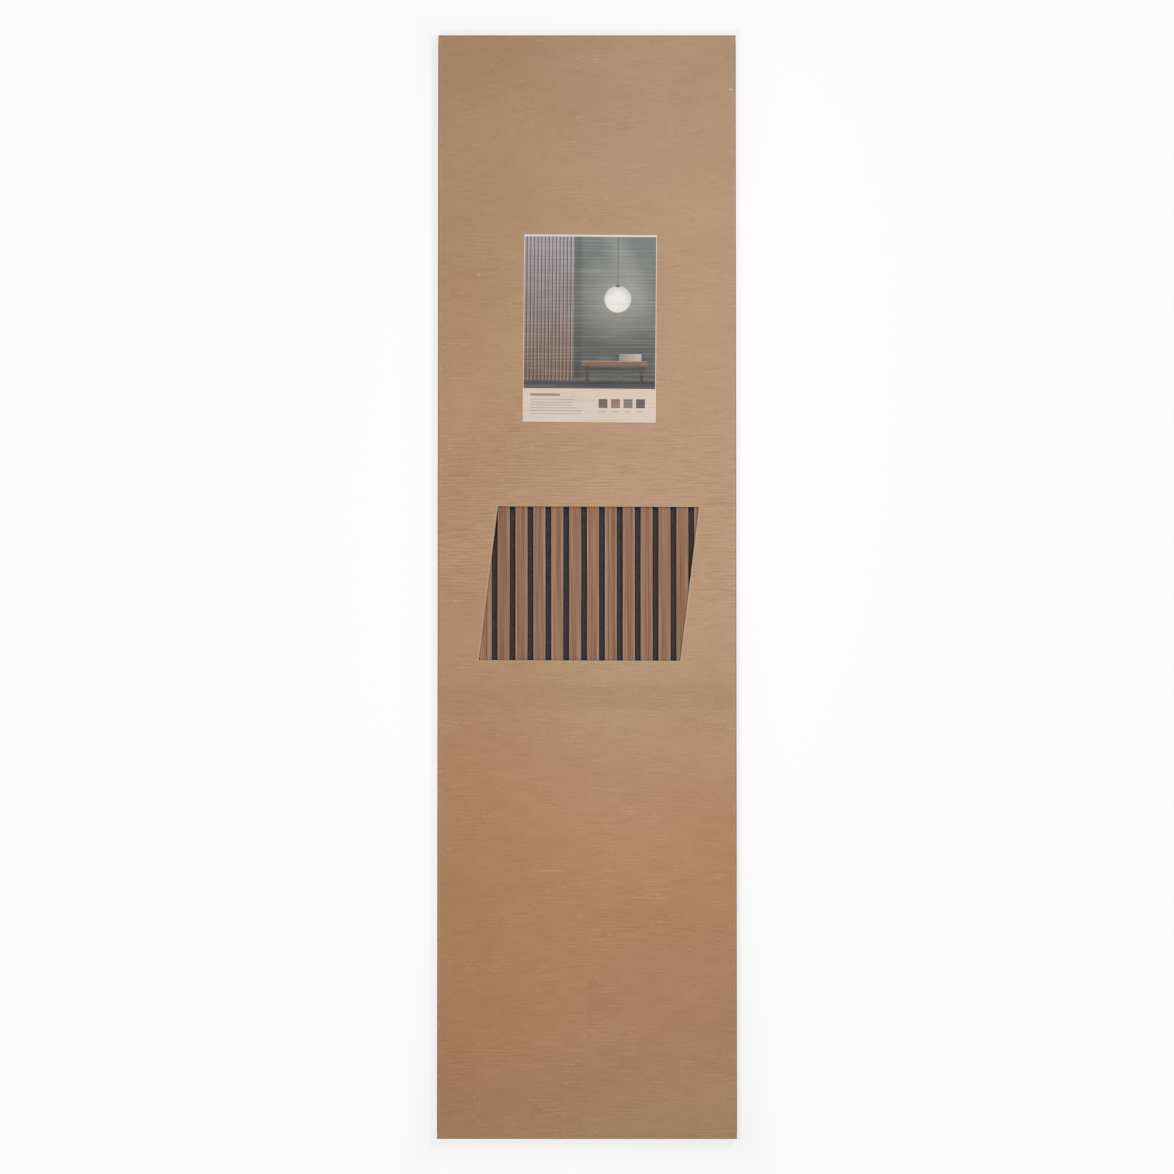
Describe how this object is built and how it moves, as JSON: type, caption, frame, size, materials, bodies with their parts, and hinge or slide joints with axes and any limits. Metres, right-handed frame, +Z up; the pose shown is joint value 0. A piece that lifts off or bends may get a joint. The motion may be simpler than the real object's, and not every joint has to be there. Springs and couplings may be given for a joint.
{
  "type": "slatted wall panel in a window carton",
  "caption": "Slatted wood wall panel on a felt backing, packed in a long flat corrugated carton with a slanted window in the front and a paper label.",
  "frame": {"origin": "middle of the carton's back, which is the object's lowest face", "axes": "+X across the carton to the right of the front, +Y along it towards the label's end, +Z up, out of the front"},
  "size_m": [0.668, 2.4672, 0.0332],
  "materials": {
    "kraft_board": "matte",
    "label_paper": "satin",
    "felt": "matte",
    "wood_veneer": "satin"
  },
  "bodies": {
    "root": {"carton": "kraft_board", "label": "label_paper", "felt_backing": "felt", "slat_01": "wood_veneer", "slat_02": "wood_veneer", "slat_03": "wood_veneer", "slat_04": "wood_veneer", "slat_05": "wood_veneer", "slat_06": "wood_veneer", "slat_07": "wood_veneer", "slat_08": "wood_veneer", "slat_09": "wood_veneer", "slat_10": "wood_veneer", "slat_11": "wood_veneer", "slat_12": "wood_veneer", "slat_13": "wood_veneer", "slat_14": "wood_veneer", "slat_15": "wood_veneer", "slat_16": "wood_veneer"}
  },
  "joints": []
}
